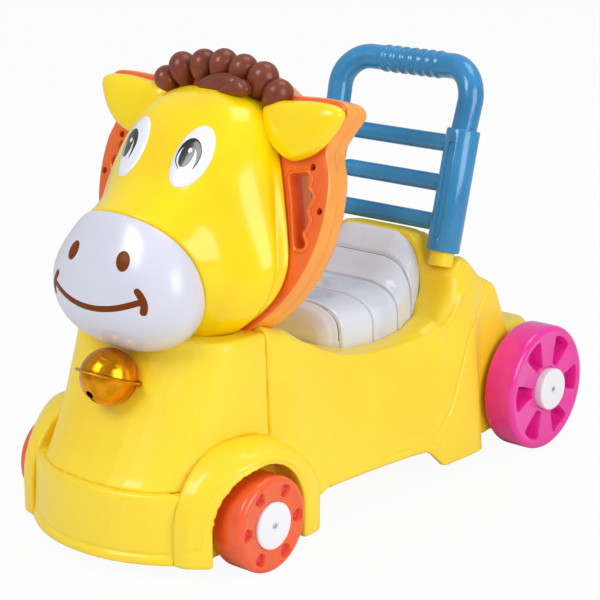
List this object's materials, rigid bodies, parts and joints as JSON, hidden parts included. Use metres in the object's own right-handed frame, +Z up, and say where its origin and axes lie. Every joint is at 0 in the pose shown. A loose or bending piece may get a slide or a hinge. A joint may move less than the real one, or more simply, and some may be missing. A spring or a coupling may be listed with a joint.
{
  "type": "horse baby walker",
  "caption": "Animal-faced ride-on walker on wheels with a saddle seat, a backrest ladder frame with push handle, a grip disc behind the head and a bell under the muzzle.",
  "frame": {"origin": "on the floor under the centre of the toy's box", "axes": "+Z up, +X the animal's left side, the muzzle and bumper towards -Y, the push handle towards +Y"},
  "size_m": [0.315, 0.6216, 0.4615],
  "materials": {
    "yellow_shell": "satin moulded plastic",
    "head_yellow_shell": "glossy moulded plastic",
    "white_shell": "glossy moulded plastic",
    "muzzle_white_shell": "satin moulded plastic",
    "orange_shell": "satin moulded plastic",
    "light_orange_shell": "satin moulded plastic",
    "blue_tube": "glossy moulded plastic",
    "brown_shell": "soft moulded plastic",
    "red_wheel": "satin moulded plastic",
    "pink_wheel": "satin moulded plastic",
    "gold_plate": "bright gold plating",
    "steel": "bright steel"
  },
  "bodies": {
    "chassis": {"body_shell": "yellow_shell", "neck_shell": "yellow_shell", "bumper_shell": "yellow_shell", "base_plate": "yellow_shell", "seat": "white_shell", "handle_post_left": "yellow_shell", "handle_post_right": "yellow_shell", "handle_sleeve_left": "blue_tube", "handle_sleeve_right": "blue_tube", "rung_lower": "blue_tube", "rung_middle": "blue_tube", "rung_upper": "blue_tube", "push_handle": "blue_tube", "disc_front_shell": "orange_shell", "disc_rear_shell": "light_orange_shell", "disc_screw_lower_left": "steel", "disc_screw_lower_right": "steel", "disc_screw_upper_left": "steel", "disc_screw_upper_right": "steel", "head_shell": "head_yellow_shell", "muzzle_shell": "muzzle_white_shell", "ear_left": "head_yellow_shell", "ear_right": "head_yellow_shell", "mane": "brown_shell", "forelock": "brown_shell", "eye_left": "white_shell", "eye_right": "white_shell", "bell_upper": "gold_plate", "bell_lower": "gold_plate", "bell_band": "gold_plate", "front_axle": "steel", "rear_axle": "steel", "front_spacer_left": "white_shell", "front_spacer_right": "white_shell", "rear_spacer_left": "white_shell", "rear_spacer_right": "white_shell", "front_axle_nut_left": "steel", "front_axle_nut_right": "steel", "rear_axle_nut_left": "steel", "rear_axle_nut_right": "steel"},
    "front_wheel_left_body": {"front_wheel_left": "red_wheel", "front_hub_cap_left": "white_shell"},
    "front_wheel_right_body": {"front_wheel_right": "red_wheel", "front_hub_cap_right": "white_shell"},
    "rear_wheel_left_body": {"rear_wheel_left": "pink_wheel", "rear_hub_cap_left": "white_shell"},
    "rear_wheel_right_body": {"rear_wheel_right": "pink_wheel", "rear_hub_cap_right": "white_shell"}
  },
  "joints": [
    {"name": "front_wheel_left_spin", "type": "hinge", "parent": "chassis", "child": "front_wheel_left_body", "pos_m": [0, -0.203, 0.0462], "axis": [1, 0, 0], "continuous": true},
    {"name": "front_wheel_right_spin", "type": "hinge", "parent": "chassis", "child": "front_wheel_right_body", "pos_m": [0, -0.203, 0.0462], "axis": [1, 0, 0], "continuous": true},
    {"name": "rear_wheel_left_spin", "type": "hinge", "parent": "chassis", "child": "rear_wheel_left_body", "pos_m": [0, 0.2428, 0.068], "axis": [1, 0, 0], "continuous": true},
    {"name": "rear_wheel_right_spin", "type": "hinge", "parent": "chassis", "child": "rear_wheel_right_body", "pos_m": [0, 0.2428, 0.068], "axis": [1, 0, 0], "continuous": true}
  ]
}
